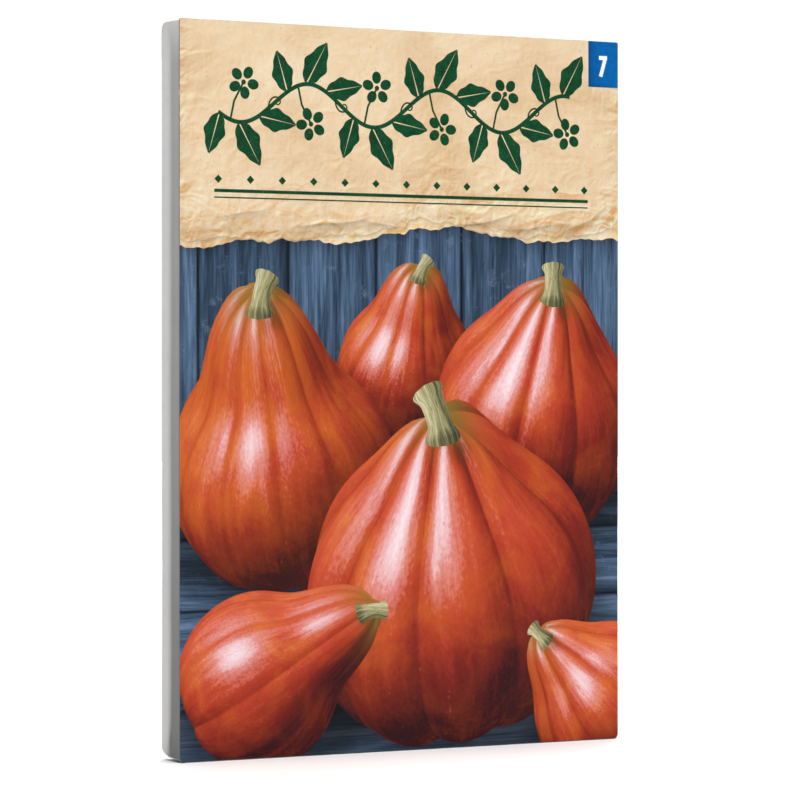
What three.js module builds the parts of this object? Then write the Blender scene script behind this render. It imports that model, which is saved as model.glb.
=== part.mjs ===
// A filled paper seed packet that stands upright. One folded and glued sheet makes the printed front,
// the two side walls with their inward crease, the lapped back, the squared-off base and the closing
// flap; flat squash seeds lie loose at the bottom. Millimetres, +Z up, front towards -Y, and the origin
// under the middle of the packet.
import * as THREE from 'three';

// Driving dimensions
const WIDTH = 115;
const HEIGHT = 165;
const BODY_DEPTH = 9.4; // front face to back panel
const PAPER = 0.3;
const GLUE_GAP = 0.3; // between two layers of the sheet
const CORNER_RADIUS = 0.7; // of the front panel
const END_STEP = 0.5; // the front panel stands this far above the other panels
const CREASE_DEPTH = 0.9; // how far the side walls fold inwards
const CREASE_PLACE = 0.64; // along the wall, from front to back
const CREASE_FADE = 9; // the crease opens out over this height at each end
const WALL_CORNER = { low: 3.1, high: 2.2 }; // corners of the side walls towards the back
const BASE_FOLD_RADIUS = 1.2;
const BASE_INSET = 2; // the base stops this far short of the packet's sides
const TOP_FOLD_RADIUS = 2.2;
const BASE_TAB = 13; // height of the base's glued tab on the back
const FLAP_LENGTH = 24; // of the closing flap, down the back
const SEAM_X = -14; // edge of the back's upper layer
const SEAM_LAP = 11;
const SEED = { length: 21, width: 12.6, thickness: 3.5, rim: 0.7, taper: 0.2 };
const SEEDS_PER_LAYER = 4;
const SEED_PITCH = 24.5;
const SEED_STAGGER = 0.25; // of the pitch, each layer its own way
const SEED_TILT = { most: 0.42, step: 2.4 }; // radians

// Levels, front to back and bottom to top
const FRONT = -(BODY_DEPTH + PAPER + GLUE_GAP) / 2;
const BACK = -FRONT; // outer face of the flap and the base's tab
const PANEL_BACK = FRONT + BODY_DEPTH; // outer face of the back panel
const INSIDE_FRONT = FRONT + PAPER;
const INSIDE_BACK = PANEL_BACK - 2 * PAPER - GLUE_GAP; // at the lapped seam
const TOP = HEIGHT - END_STEP;
const HALF = WIDTH / 2;

const PRINT = { color: 0xa85540, roughness: 0.55, metalness: 0 };
const PLAIN = { color: 0xd6d4d2, roughness: 0.85, metalness: 0 };
const SEED_COAT = { color: 0xe6d9b8, roughness: 0.5, metalness: 0 };

function part(name, geometry, look) {
  const mesh = new THREE.Mesh(geometry, new THREE.MeshStandardMaterial(look));
  mesh.name = name;
  return mesh;
}

function shapeOf(points) {
  return new THREE.Shape(points.map(([x, y]) => new THREE.Vector2(x, y)));
}

// A plane outline [x, y], raised from one height to another
function prismUp(points, low, high) {
  const geometry = new THREE.ExtrudeGeometry(shapeOf(points), { depth: high - low, bevelEnabled: false });
  return geometry.translate(0, 0, low);
}

// A side-view outline [y, z], drawn out across the packet
function prismAcross(points, half) {
  const geometry = new THREE.ExtrudeGeometry(shapeOf(points), { depth: 2 * half, bevelEnabled: false });
  const turn = new THREE.Matrix4().makeBasis(
    new THREE.Vector3(0, 1, 0),
    new THREE.Vector3(0, 0, 1),
    new THREE.Vector3(1, 0, 0),
  );
  return geometry.applyMatrix4(turn).translate(-half, 0, 0);
}

function arc(centreX, centreY, radius, from, to, steps) {
  return Array.from({ length: steps + 1 }, (_, i) => {
    const angle = from + ((to - from) * i) / steps;
    return [centreX + radius * Math.cos(angle), centreY + radius * Math.sin(angle)];
  });
}

// A line of sheet with the paper's thickness on its left-hand side, as a closed outline
function bentSheet(line) {
  const inner = line.map(([x, y], i) => {
    const [ax, ay] = line[Math.max(i - 1, 0)];
    const [bx, by] = line[Math.min(i + 1, line.length - 1)];
    const [px, py] = i > 0 ? [x - ax, y - ay] : [bx - x, by - y];
    const [nx, ny] = i < line.length - 1 ? [bx - x, by - y] : [px, py];
    const before = new THREE.Vector2(-py, px).normalize();
    const after = new THREE.Vector2(-ny, nx).normalize();
    const mitre = before.clone().add(after).normalize();
    const reach = PAPER / mitre.dot(after);
    return [x + mitre.x * reach, y + mitre.y * reach];
  });
  return [...line, ...inner.reverse()];
}

// A closed solid between two grids of points, outer and inner, each rows x columns
function thickSheet(outer, inner) {
  const rows = outer.length;
  const columns = outer[0].length;
  const positions = [...outer.flat(), ...inner.flat()].flat();
  const at = (side, row, column) => side * rows * columns + row * columns + column;
  const index = [];
  const quad = (a, b, c, d) => index.push(a, b, c, a, c, d);
  for (let r = 0; r + 1 < rows; r++) {
    for (let c = 0; c + 1 < columns; c++) {
      quad(at(0, r, c), at(0, r, c + 1), at(0, r + 1, c + 1), at(0, r + 1, c));
      quad(at(1, r, c), at(1, r + 1, c), at(1, r + 1, c + 1), at(1, r, c + 1));
    }
    quad(at(0, r, 0), at(0, r + 1, 0), at(1, r + 1, 0), at(1, r, 0));
    const last = columns - 1;
    quad(at(0, r, last), at(1, r, last), at(1, r + 1, last), at(0, r + 1, last));
  }
  for (let c = 0; c + 1 < columns; c++) {
    const last = rows - 1;
    quad(at(0, 0, c), at(1, 0, c), at(1, 0, c + 1), at(0, 0, c + 1));
    quad(at(0, last, c), at(0, last, c + 1), at(1, last, c + 1), at(1, last, c));
  }
  const geometry = new THREE.BufferGeometry();
  geometry.setAttribute('position', new THREE.Float32BufferAttribute(positions, 3));
  geometry.setIndex(index);
  return geometry;
}

// Front panel: a flat sheet with slightly rounded corners
function frontPanel() {
  const r = CORNER_RADIUS;
  const corners = [
    [HALF - r, r, -Math.PI / 2],
    [HALF - r, HEIGHT - r, 0],
    [-HALF + r, HEIGHT - r, Math.PI / 2],
    [-HALF + r, r, Math.PI],
  ];
  const outline = corners.flatMap(([x, z, from]) => arc(x, z, r, from, from + Math.PI / 2, 4));
  const geometry = new THREE.ExtrudeGeometry(shapeOf(outline), { depth: PAPER, bevelEnabled: false });
  return geometry.rotateX(Math.PI / 2).translate(0, FRONT + PAPER, 0);
}

// How far a rounded corner draws in, at a distance from the end of the edge
function cornerInset(distance, radius) {
  return distance < radius ? radius - Math.sqrt(radius ** 2 - (radius - distance) ** 2) : 0;
}

// The crease grows from nothing at both ends of the wall to its full depth
function creaseDepth(z) {
  const reach = Math.min((z - END_STEP) / CREASE_FADE, (TOP - z) / CREASE_FADE, 1);
  return CREASE_DEPTH * Math.sin((Math.PI / 2) * reach);
}

// Side wall: folded inwards along its middle, with rounded corners towards the back
function sideWall(side) {
  const near = INSIDE_FRONT + GLUE_GAP;
  const far = PANEL_BACK - PAPER - GLUE_GAP;
  const steps = [0, 0.15, 0.5, 1, 1.8, 2.8, 4.5, 6.5, CREASE_FADE];
  const heights = [...steps.map((s) => END_STEP + s), ...steps.map((s) => TOP - s).reverse()];
  const shares = [0, CREASE_PLACE / 2, CREASE_PLACE, (1 + CREASE_PLACE) / 2, 1];
  const folds = [0, 0.5, 1, 0.5, 0];
  const surface = (depth) =>
    heights.map((z) => {
      const inset = cornerInset(z - END_STEP, WALL_CORNER.low) + cornerInset(TOP - z, WALL_CORNER.high);
      return shares.map((share, i) => {
        const x = HALF - depth - folds[i] * creaseDepth(z);
        return [side * x, near + share * (far - inset - near), z];
      });
    });
  return side > 0 ? thickSheet(surface(0), surface(PAPER)) : thickSheet(surface(PAPER), surface(0));
}

// Back, upper layer: from the left edge to the glued seam
function backLeft() {
  const line = [[SEAM_X, PANEL_BACK], [-HALF, PANEL_BACK]];
  return prismUp(bentSheet(line), BASE_FOLD_RADIUS, TOP - TOP_FOLD_RADIUS);
}

// Back, lower layer: steps inwards to pass under the upper one
function backRight() {
  const step = PAPER + GLUE_GAP;
  const line = [
    [HALF, PANEL_BACK],
    [SEAM_X + 2 * step, PANEL_BACK],
    [SEAM_X + step / 2, PANEL_BACK - step],
    [SEAM_X - SEAM_LAP, PANEL_BACK - step],
  ];
  return prismUp(bentSheet(line), BASE_FOLD_RADIUS, TOP - TOP_FOLD_RADIUS);
}

// Base: the flat bottom, which turns up into a tab glued on the back
function baseFlap() {
  const r = BASE_FOLD_RADIUS;
  const bend = arc(BACK - r, r, r, -Math.PI / 2, 0, 6);
  const line = [[INSIDE_FRONT + GLUE_GAP, 0], ...bend, [BACK, BASE_TAB]];
  return prismAcross(bentSheet(line), HALF - BASE_INSET);
}

// Closing flap: the flat top, which turns down and is glued on the back
function closingFlap() {
  const r = TOP_FOLD_RADIUS;
  const bend = arc(BACK - r, TOP - r, r, 0, Math.PI / 2, 5);
  const line = [[BACK, TOP - FLAP_LENGTH], ...bend, [INSIDE_FRONT + GLUE_GAP, TOP]];
  return prismAcross(bentSheet(line), HALF - PAPER - GLUE_GAP);
}

// A seed's outline: an oval that narrows towards its tip
function seedEdge(angle) {
  const x = (SEED.length / 2) * Math.cos(angle);
  return [x, (SEED.width / 2) * Math.sin(angle) * (1 - SEED.taper * Math.cos(angle))];
}

// A flat seed, tilted in its plane, with its lowest point at the origin's height
function seed(tilt) {
  const around = 24;
  const rings = [0.35, 0.62, 0.82, 0.93, 1];
  const half = (SEED.thickness - SEED.rim) / 2;
  const swell = (ring) => SEED.rim / 2 + half * (1 - ring ** 2.4) ** 0.7;
  const positions = [];
  const index = [];
  for (const face of [-1, 1]) {
    const first = positions.length / 3;
    positions.push(0, face * swell(0), 0);
    rings.forEach((ring, r) => {
      for (let a = 0; a < around; a++) {
        const [x, z] = seedEdge((2 * Math.PI * a) / around);
        positions.push(ring * x, face * swell(ring), ring * z);
        const here = first + 1 + r * around + a;
        const next = first + 1 + r * around + ((a + 1) % around);
        const [one, two] = face < 0 ? [here, next] : [next, here];
        if (r === 0) index.push(first, one, two);
        else index.push(one, two, two - around, one, two - around, one - around);
      }
    });
  }
  const firstOnRim = 1 + (rings.length - 1) * around;
  const rim = (face, a) => face * (1 + rings.length * around) + firstOnRim + (a % around);
  for (let a = 0; a < around; a++) {
    index.push(rim(0, a), rim(1, a), rim(1, a + 1), rim(0, a), rim(1, a + 1), rim(0, a + 1));
  }
  const geometry = new THREE.BufferGeometry();
  geometry.setAttribute('position', new THREE.Float32BufferAttribute(positions, 3));
  geometry.setIndex(index);
  geometry.rotateY(tilt).computeBoundingBox();
  return geometry.translate(0, 0, -geometry.boundingBox.min.z);
}

// Two layers of seeds stand on their edges on the base, each tilted its own way
function seeds() {
  const group = new THREE.Group();
  const inset = GLUE_GAP + SEED.thickness / 2;
  const layers = [INSIDE_FRONT + inset, INSIDE_BACK - inset];
  layers.forEach((y, layer) => {
    for (let i = 0; i < SEEDS_PER_LAYER; i++) {
      const number = layer * SEEDS_PER_LAYER + i + 1;
      const tilt = SEED_TILT.most * Math.sin(SEED_TILT.step * number);
      const mesh = part(`seed_${number}`, seed(tilt), SEED_COAT);
      const place = i - (SEEDS_PER_LAYER - 1) / 2 + SEED_STAGGER * (2 * layer - 1);
      mesh.position.set(place * SEED_PITCH, y, PAPER + GLUE_GAP);
      group.add(mesh);
    }
  });
  return group;
}

const packet = new THREE.Group();
packet.add(
  part('front_panel', frontPanel(), PRINT),
  part('left_side_wall', sideWall(-1), PLAIN),
  part('right_side_wall', sideWall(1), PLAIN),
  part('back_panel_left', backLeft(), PLAIN),
  part('back_panel_right', backRight(), PLAIN),
  part('base_flap', baseFlap(), PLAIN),
  part('closing_flap', closingFlap(), PLAIN),
  seeds(),
);

export default packet;
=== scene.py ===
"""A filled paper seed packet, standing upright: folded paper sheets with a printed front."""
import math
from collections import namedtuple
from functools import partial

import bpy
import numpy as np
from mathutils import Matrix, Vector
from mathutils.geometry import delaunay_2d_cdt


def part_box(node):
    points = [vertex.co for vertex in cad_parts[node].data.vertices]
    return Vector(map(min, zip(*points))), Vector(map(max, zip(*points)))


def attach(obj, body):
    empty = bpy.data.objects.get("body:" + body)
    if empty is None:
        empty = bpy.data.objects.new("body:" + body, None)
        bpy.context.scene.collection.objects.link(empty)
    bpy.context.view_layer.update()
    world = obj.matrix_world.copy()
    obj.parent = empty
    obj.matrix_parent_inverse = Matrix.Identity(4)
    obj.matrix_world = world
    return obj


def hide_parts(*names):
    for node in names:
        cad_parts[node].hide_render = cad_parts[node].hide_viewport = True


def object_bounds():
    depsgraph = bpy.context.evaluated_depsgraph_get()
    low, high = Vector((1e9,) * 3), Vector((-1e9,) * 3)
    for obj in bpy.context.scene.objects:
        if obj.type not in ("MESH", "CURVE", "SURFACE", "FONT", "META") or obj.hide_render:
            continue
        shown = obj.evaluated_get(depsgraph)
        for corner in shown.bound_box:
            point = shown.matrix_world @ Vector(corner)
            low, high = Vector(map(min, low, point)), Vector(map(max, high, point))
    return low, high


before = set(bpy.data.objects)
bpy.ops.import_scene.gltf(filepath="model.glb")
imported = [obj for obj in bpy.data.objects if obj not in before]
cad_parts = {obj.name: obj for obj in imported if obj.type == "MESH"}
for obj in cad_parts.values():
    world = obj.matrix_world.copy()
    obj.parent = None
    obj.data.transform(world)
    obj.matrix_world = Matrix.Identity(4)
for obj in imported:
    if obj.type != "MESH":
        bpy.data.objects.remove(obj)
CAD_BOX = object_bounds()
MM = 0.001

# The packet's own sizes in millimetres, read from model.glb or given
LOW, HIGH = (np.array(corner) / MM for corner in CAD_BOX)
HALF = HIGH[0]
HEIGHT = HIGH[2]
FRONT = LOW[1]
BACK = HIGH[1]
PAPER = 0.3
RIM = 0.07  # the front's bevelled edge
FOOT_RIM = 0.22  # the bevel under the front's lower edge
GAP = 0.3
CLEARANCE = 0.05  # between the front sheet and the sheets behind it
PANEL_BACK = BACK - PAPER - GAP
WALL_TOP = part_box("left_side_wall")[1].z / MM
WALL_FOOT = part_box("left_side_wall")[0].z / MM
SEAM_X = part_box("back_panel_left")[1].x / MM
BASE_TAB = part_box("base_flap")[1].z / MM
FLAP_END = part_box("closing_flap")[0].z / MM
SEAM_LAP = 11
BASE_INSET = 1.05  # the base stops this far short of the packet's sides
CREASE_DEPTH = 0.9
CREASE_PLACE = 0.64
CREASE_FADE = 9.0
FOOT_OPEN = 0.45  # how far the crease opens out at the foot, where 1 is flat
WALL_CORNER = (2.6, 2.2)
BACK_FOLD = 0.35
BACK_SHADE = 0.86  # share of light on the back's paper
TOP_SHADE = 0.64  # and on the top's
FOOT_LIFT = (0.2, 0.75)  # how far the side's lower edge stands off the floor in front and behind
TOP_RISE = 0.15  # how far the top rises towards the back
BASE_FOLD = 1.2
TOP_FOLD = 2.2
CORNER_RADIUS = (1.0, 0.5)  # the front's lower and upper corners
EDGE_ANGLE = math.radians(40)  # a sharper bend than this shows as an edge
RIM_SHADE = {"side": 0.26, "under": 0.1, "worn": 0.6}  # share of light on the front's cut edge
SEED_SIZE = (21, 12.6, 3.5)  # length, width and thickness
SEED_RIM = 0.7
SEED_TAPER = 0.2
SEED_SIDES = 64
SEED_TILT = 0.42  # the most that a seed leans, in radians
SEEDS = 8

# The photograph's view
VIEW_TURN = math.radians(-29.15)
AHEAD = Vector((-math.sin(VIEW_TURN), math.cos(VIEW_TURN), 0))
FOCAL_PX = 3555.0
FRAME_PX = 800.0
EDGE_PX = 179.5  # the front panel's left edge in the photograph
EDGE_HEIGHT_PX = 745.9
HORIZON_PX = 390.4
SENSOR = 36.0

# The light
KEY_POWER = 6.2
OVERHEAD_POWER = 5.6
NEAR_FLOOR_POWER = 11.0
FAR_FLOOR_POWER = 60.0
ROOM = 0.12
BACKDROP = 1.05
FLOOR = 6  # metres along each side


# Colours and node trees

def rgb(red, green, blue):
    """An sRGB colour, 0 to 255, as linear RGBA."""
    shares = (red / 255, green / 255, blue / 255)
    return (*(s / 12.92 if s <= 0.04045 else ((s + 0.055) / 1.055) ** 2.4 for s in shares), 1.0)


class Nodes:
    """A node tree that is built by short calls."""

    def __init__(self, tree):
        self.tree = tree

    def node(self, kind, inputs=None, **settings):
        made = self.tree.nodes.new("ShaderNode" + kind)
        for key, value in settings.items():
            setattr(made, key, value)
        for key, value in (inputs or {}).items():
            self.feed(made.inputs[key], value)
        return made

    def feed(self, socket, value):
        if isinstance(value, bpy.types.NodeSocket):
            self.tree.links.new(value, socket)
        else:
            socket.default_value = value


class Look(Nodes):
    """A material and the patterns that its colour is mixed from."""

    def __init__(self, name, roughness, specular):
        self.material = bpy.data.materials.new(name)
        self.material.use_nodes = True
        super().__init__(self.material.node_tree)
        self.shader = self.tree.nodes["Principled BSDF"]
        self.shader.inputs["Roughness"].default_value = roughness
        self.shader.inputs["Specular IOR Level"].default_value = specular

    def place(self, stretch=(1, 1, 1), source="Object"):
        """Where the surface is, in millimetres or in skin coordinates, stretched along each axis."""
        scale = [s / MM for s in stretch] if source == "Object" else stretch
        coordinates = self.node("TexCoord").outputs[source]
        return self.node("Mapping", {"Vector": coordinates, "Scale": scale}).outputs[0]

    def noise(self, where, scale, detail, roughness, distortion=0.0):
        inputs = {"Vector": where, "Scale": scale, "Detail": detail, "Roughness": roughness,
                  "Distortion": distortion}
        return self.node("TexNoise", inputs).outputs["Fac"]

    def math(self, operation, one, two=0.0, clamp=False):
        return self.node("Math", {0: one, 1: two}, operation=operation, use_clamp=clamp).outputs[0]

    def add(self, one, two):
        return self.math("ADD", one, two)

    def times(self, one, two):
        return self.math("MULTIPLY", one, two)

    def span(self, value, low, high, to_low=0.0, to_high=1.0):
        inputs = {"Value": value, "From Min": low, "From Max": high, "To Min": to_low, "To Max": to_high}
        return self.node("MapRange", inputs).outputs[0]

    def patches(self, low, high, *noise, stretch=(1, 1, 1), source="Object"):
        """Rises from 0 to 1 where noise of that scale, detail and roughness goes from low to high."""
        return self.span(self.noise(self.place(stretch, source), *noise), low, high)

    def ramp(self, value, *stops):
        """A colour for the value, from stops that each have a place and an sRGB colour."""
        made = self.node("ValToRGB", {"Fac": value})
        points = made.color_ramp.elements
        while len(points) < len(stops):
            points.new(0.5)
        for point, (place, *colour) in zip(points, stops):
            point.position, point.color = place, rgb(*colour)
        return made.outputs["Color"]

    def mix(self, share, one, two, blend="MIX"):
        made = self.node("Mix", data_type="RGBA", blend_type=blend)
        for socket, value in zip((made.inputs[0], made.inputs[6], made.inputs[7]), (share, one, two)):
            self.feed(socket, value)
        return made.outputs[2]

    def stain(self, colour, share, mask, over):
        """The colour with another laid over it, by that share where the mask is 1."""
        return self.mix(self.times(mask, share), colour, over)

    def attribute(self, name):
        return self.node("Attribute", attribute_name=name).outputs["Fac"]

    def dim(self, colour, name="light"):
        """The colour darkened where the painted light is low."""
        light = self.attribute(name)
        grey = self.node("CombineColor", {0: light, 1: light, 2: light}).outputs[0]
        return self.mix(1.0, colour, grey, "MULTIPLY")

    def finish(self, colour, relief=None, strength=0.2, distance=0.08):
        """Gives the shader its colour and its relief, whose distance is in millimetres."""
        self.feed(self.shader.inputs["Base Color"], colour)
        if relief is not None:
            bump = self.node("Bump", {"Height": relief, "Strength": strength, "Distance": distance * MM})
            self.feed(self.shader.inputs["Normal"], bump.outputs[0])
        return self.material


# Materials

def paper_fibres(look):
    """The height of a paper surface: fine fibres over faint cockling."""
    fibres = look.noise(look.place((1, 1, 0.25)), 3.2, 5, 0.7)
    return look.add(look.times(fibres, 0.25), look.noise(look.place(), 0.09, 2, 0.4))


def plain_paper():
    look = Look("plain_paper", roughness=0.82, specular=0.2)
    pulp = look.noise(look.place((1, 1, 0.4)), 1.4, 5, 0.7)
    mottle = look.times(look.add(look.noise(look.place(), 0.05, 3, 0.5), pulp), 0.5)
    colour = look.ramp(mottle, (0.36, 223, 222, 222), (0.64, 231, 230, 229))
    flecks = look.patches(0.70, 0.78, 2.3, 2, 0.5, stretch=(1, 1, 0.5))
    colour = look.stain(colour, 0.35, flecks, rgb(194, 190, 182))
    # the attribute "fold" holds a painted share of light: painted shade on the walls, back, top and cut edge
    return look.finish(look.dim(colour, "fold"), paper_fibres(look), 0.35, 0.12)


def creased(look, offset):
    """The height of paper that has been crumpled and smoothed out again, seen a little to one side."""
    here = look.node("VectorMath", {0: look.place((1, 1, 1.3)), 1: offset}, operation="ADD").outputs[0]
    height = 0.0
    for scale, depth in ((0.045, 1.0), (0.11, 0.5), (0.27, 0.22)):
        valley = look.math("ABSOLUTE", look.math("SUBTRACT", look.noise(here, scale, 1, 0.5, 1.2), 0.5))
        height = look.add(look.times(valley, depth), height)
    return height


def kraft_paper(name, roughness, base, pale, tan):
    """Brown paper with pulp, specks and creases; the attribute "edge" says how near the torn edge is."""
    look = Look(name, roughness, specular=0.18)
    broad = look.noise(look.place((1, 1, 1.4)), 0.035, 3, 0.55, 0.6)
    colour = look.ramp(broad, (0.30, *tan), (0.50, *base), (0.72, *pale))
    pulp = look.noise(look.place((1, 1, 0.4)), 1.1, 5, 0.7)
    pulp = look.ramp(pulp, (0.3, 168, 160, 146), (0.7, 206, 202, 198))
    colour = look.mix(0.35, colour, pulp, "OVERLAY")
    colour = look.stain(colour, 0.5, look.patches(0.69, 0.76, 1.9, 2, 0.5), rgb(150, 112, 70))
    relief = look.math("SUBTRACT", creased(look, (0.0, 0.0, 0.0)), creased(look, (0.35, 0.0, -0.55)))
    near = look.span(look.attribute("edge"), 0, 1, 1.1, 9.0)
    shade = look.math("ADD", look.times(relief, near), 0.5, clamp=True)
    shade = look.ramp(shade, (0.0, 88, 70, 52), (0.5, 188, 188, 188), (1.0, 255, 250, 240))
    colour = look.mix(0.8, colour, shade, "OVERLAY")
    aged = look.times(look.patches(0.4, 0.62, 0.09, 3, 0.6), look.attribute("edge"))
    colour = look.stain(colour, 0.55, aged, rgb(196, 150, 96))
    return look.finish(look.dim(colour), paper_fibres(look))


def green_ink():
    look = Look("green_ink", roughness=0.6, specular=0.1)
    tone = look.noise(look.place(), 0.5, 3, 0.5)
    colour = look.ramp(tone, (0.3, 6, 60, 34), (0.7, 14, 78, 46))
    colour = look.stain(colour, 0.45, look.patches(0.60, 0.72, 2.6, 4, 0.7), rgb(150, 160, 118))
    return look.finish(look.dim(colour), paper_fibres(look))


def flat_ink(name, dark, light):
    look = Look(name, roughness=0.6, specular=0.1)
    colour = look.ramp(look.noise(look.place(), 0.8, 4, 0.6), (0.35, *dark), (0.65, *light))
    return look.finish(look.dim(colour), paper_fibres(look))


def gourd_print():
    """Skin with streaks, blotches and pores; the attributes say how it is lit and where it gleams."""
    look = Look("gourd_print", roughness=0.55, specular=0.14)
    skin = look.place(source="UV")
    streaks = look.noise(look.place((7, 1.1, 1), "UV"), 1.5, 5, 0.6, 0.4)
    blotches = look.noise(skin, 2.2, 4, 0.6, 0.5)
    pores = look.noise(look.place((1.6, 1, 1), "UV"), 26, 3, 0.6)
    light = look.attribute("light")
    for pattern, depth in ((streaks, 0.08), (blotches, 0.07), (pores, 0.05)):
        light = look.add(light, look.span(pattern, 0.2, 0.8, -depth, depth))
    red = look.ramp(light, (0.05, 50, 14, 18), (0.28, 122, 34, 24), (0.5, 182, 62, 36),
                    (0.72, 212, 92, 60), (0.95, 228, 124, 100))
    warm = look.ramp(light, (0.05, 64, 20, 12), (0.35, 152, 58, 22), (0.62, 206, 98, 38),
                     (0.95, 234, 142, 84))
    warmth = look.add(blotches, look.attribute("tone"))
    colour = look.mix(look.span(warmth, 0.42, 0.68), red, warm)
    gloss = look.add(look.attribute("gloss"), look.span(streaks, 0.25, 0.8, -0.26, 0.26))
    gloss = look.add(gloss, look.span(pores, 0.3, 0.7, -0.14, 0.14))
    colour = look.mix(look.span(gloss, 0.20, 0.85, 0, 0.85), colour, rgb(232, 160, 158))
    colour = look.mix(look.span(gloss, 0.68, 1.32, 0, 0.9), colour, rgb(252, 232, 238))
    spots = look.node("TexVoronoi", {"Vector": look.place((5, 3, 1), "UV"), "Scale": 2.6})
    warts = look.span(spots.outputs["Distance"], 0.10, 0.05)
    colour = look.stain(colour, look.span(look.noise(skin, 1.3, 2, 0.5), 0.56, 0.64), warts, rgb(112, 92, 58))
    scuffs = look.patches(0.64, 0.70, 7, 4, 0.7, stretch=(3, 1, 1), source="UV")
    colour = look.stain(colour, 0.35, scuffs, rgb(150, 74, 50))
    colour = look.stain(colour, 0.75, look.attribute("crown"), rgb(150, 122, 48))
    return look.finish(colour, paper_fibres(look))


def stem_print():
    look = Look("stem_print", roughness=0.6, specular=0.2)
    ridges = look.noise(look.place((9, 1.2, 1), "UV"), 1.0, 4, 0.6, 0.3)
    light = look.add(look.attribute("light"), look.span(ridges, 0.3, 0.7, -0.28, 0.28))
    colour = look.ramp(light, (0.1, 52, 56, 36), (0.4, 120, 116, 78), (0.65, 176, 168, 124),
                       (0.9, 226, 218, 178))
    green = look.patches(0.60, 0.66, 1.2, 2, 0.5, stretch=(14, 2, 1), source="UV")
    return look.finish(look.stain(colour, 0.8, green, rgb(38, 62, 44)), paper_fibres(look))


def board_print(name, along_x):
    """Weathered boards with a washed blue-grey paint; the grain runs along x or upward."""
    look = Look(name, roughness=0.58, specular=0.14)

    def grain(long, short):
        return (long, short, short) if along_x else (short, short, long)

    broad = look.noise(look.place(grain(0.05, 1)), 0.30, 4, 0.6, 1.1)
    fine = look.noise(look.place(grain(0.05, 1)), 1.7, 5, 0.62, 0.3)
    tone = look.add(look.add(look.times(broad, 0.6), look.times(fine, 0.4)), look.attribute("tone"))
    colour = look.ramp(tone, (0.30, 24, 38, 52), (0.44, 48, 68, 90), (0.57, 82, 108, 138),
                       (0.71, 130, 154, 184))
    cracks = look.patches(0.30, 0.36, 1.1, 2, 0.5, stretch=grain(0.03, 3))
    colour = look.mix(look.span(cracks, 0, 1, 0.55, 0), colour, rgb(12, 22, 32))
    scuffs = look.patches(0.58, 0.70, 0.35, 5, 0.75, stretch=(0.6, 1, 0.6))
    return look.finish(look.dim(look.stain(colour, 0.35, scuffs, rgb(128, 148, 172))), paper_fibres(look))


def seed_coat():
    look = Look("seed_coat", roughness=0.45, specular=0.4)
    skin = look.noise(look.place(), 0.5, 4, 0.6)
    colour = look.ramp(skin, (0.3, 222, 205, 164), (0.7, 240, 230, 200))
    return look.finish(colour, look.noise(look.place(), 2.2, 4, 0.6), 0.25)


# Meshes

def new_piece(name, points, faces, materials):
    """A mesh object from points in millimetres."""
    mesh = bpy.data.meshes.new(name)
    mesh.from_pydata((np.asarray(points) * MM).tolist(), [], [list(map(int, f)) for f in faces])
    for material in materials:
        mesh.materials.append(material)
    mesh.polygons.foreach_set("use_smooth", [True] * len(mesh.polygons))
    mesh.update()
    piece = bpy.data.objects.new(name, mesh)
    bpy.context.scene.collection.objects.link(piece)
    return piece


def settle(piece, slot, *solids):
    """The piece is part of the packet's one body and stands in for those solids."""
    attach(piece, "root")
    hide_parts(*solids)


def fall(distance, reach, power=2):
    """1 at no distance, and falling off past the reach."""
    return np.exp(-((distance / reach) ** power))


def fade(distance, reach):
    """1 up to the edge, where the distance is 0, and from there fading out."""
    return np.exp(-np.maximum(distance, 0) / reach)


def unit(value):
    """The value, kept between 0 and 1."""
    return np.clip(value, 0, 1)


def ripple(first, second, size, seed):
    """Smooth random waves, the same each run."""
    random = np.random.default_rng(seed)
    total = np.zeros(np.broadcast(first, second).shape)
    for _ in range(7):
        angle, phase = random.uniform(0, 2 * np.pi, 2)
        length = size * random.uniform(0.6, 1.8)
        wave = (first * np.cos(angle) + second * np.sin(angle)) / length
        total = total + np.sin(2 * np.pi * wave + phase)
    return total / 7


def sheet(name, outer, inner, material, light=BACK_SHADE):
    """A closed sheet of paper between two grids of points, rows x columns x 3, with its share of light."""
    rows, columns = outer.shape[:2]
    out, back = np.arange(2 * rows * columns).reshape(2, rows, columns)
    quads = [np.stack([out[:-1, :-1], out[:-1, 1:], out[1:, 1:], out[1:, :-1]], -1).reshape(-1, 4),
             np.stack([back[:-1, :-1], back[1:, :-1], back[1:, 1:], back[:-1, 1:]], -1).reshape(-1, 4)]
    for edge, flip in ((np.s_[:, 0], True), (np.s_[:, -1], False), (np.s_[0], False), (np.s_[-1], True)):
        a, b = out[edge], back[edge]
        rim = np.stack([a[:-1], b[:-1], b[1:], a[1:]], -1)
        quads.append(rim[:, ::-1] if flip else rim)
    points = np.concatenate([outer.reshape(-1, 3), inner.reshape(-1, 3)])
    piece = new_piece(name, points, np.concatenate(quads), [material])
    light = np.tile(np.broadcast_to(light, (rows, columns)).ravel(), 2)
    piece.data.attributes.new("fold", "FLOAT", "POINT").data.foreach_set("value", light.astype(np.float32))
    crisp_edges(piece)
    return piece


def crisp_edges(piece):
    """Sharp edges where the paper is cut, smooth shading elsewhere."""
    bpy.context.view_layer.objects.active = piece
    piece.select_set(True)
    bpy.ops.object.shade_smooth_by_angle(angle=EDGE_ANGLE)
    piece.select_set(False)


def along(points, step):
    """A polyline with extra points, none further apart than step."""
    found = [np.asarray(points[0], float)]
    for a, b in zip(points, points[1:]):
        a, b = np.asarray(a, float), np.asarray(b, float)
        count = max(1, math.ceil(np.linalg.norm(b - a) / step))
        found += [a + (b - a) * i / count for i in range(1, count + 1)]
    return np.array(found)


def arc(centre, radius, start, end, steps):
    angles = np.linspace(math.radians(start), math.radians(end), steps + 1)
    return [(centre[0] + radius * math.cos(a), centre[1] + radius * math.sin(a)) for a in angles]


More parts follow.
